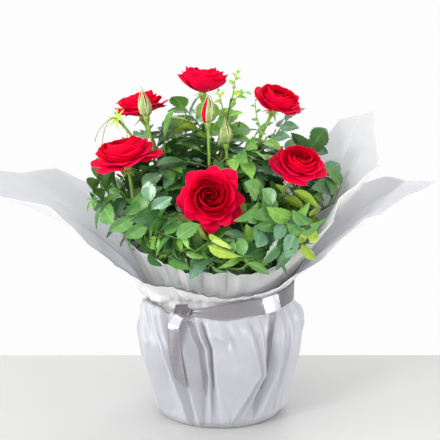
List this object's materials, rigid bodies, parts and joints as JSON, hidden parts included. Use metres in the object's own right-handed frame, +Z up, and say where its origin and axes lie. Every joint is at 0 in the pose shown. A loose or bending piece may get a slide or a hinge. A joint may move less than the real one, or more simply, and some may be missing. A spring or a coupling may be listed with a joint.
{
  "type": "rose bush",
  "caption": "Potted miniature rose bush with open crimson blooms and buds, its pot wrapped in flaring crinkled paper tied with a satin ribbon.",
  "frame": {"origin": "middle of the flat underside of the wrapping under the pot, on the pot's axis", "axes": "+Z up the pot's axis; +X to the viewer's right, towards the shorter paper wing; -Y towards the viewer, where the large bloom and the knot are"},
  "size_m": [0.427, 0.1871, 0.3113],
  "materials": {
    "pot": "matt moulded plastic nursery pot",
    "soil": "moist potting soil",
    "outer_paper": "silvery crinkled wrapping sheet",
    "inner_paper": "white crinkled wrapping sheet",
    "ribbon": "grey satin ribbon",
    "cane": "green young rose cane",
    "foliage": "glossy green leaf",
    "stalk": "light green flower stalk",
    "petal": "velvety crimson petal"
  },
  "bodies": {
    "root": {"pot": "pot", "potting_soil": "soil", "wrap_outer": "outer_paper", "wrap_inner": "inner_paper", "ribbon_band": "ribbon", "ribbon_knot": "ribbon", "ribbon_tail": "ribbon", "cane_left": "cane", "cane_front_left": "cane", "cane_front_right": "cane", "cane_right": "cane", "cane_back_right": "cane", "cane_back_left": "cane", "cane_top": "cane", "leaves_left": "foliage", "leaves_front_left": "foliage", "leaves_front_right": "foliage", "leaves_right": "foliage", "leaves_back_right": "foliage", "leaves_back_left": "foliage", "leaves_top": "foliage", "stalk_front": "stalk", "stalk_left": "stalk", "stalk_upper_left": "stalk", "stalk_top": "stalk", "stalk_upper_right": "stalk", "stalk_right": "stalk", "rose_front": "petal", "rose_left": "petal", "rose_upper_left": "petal", "rose_top": "petal", "rose_upper_right": "petal", "rose_right": "petal", "bud_left": "stalk", "bud_centre": "stalk", "bud_right": "stalk"}
  },
  "joints": []
}
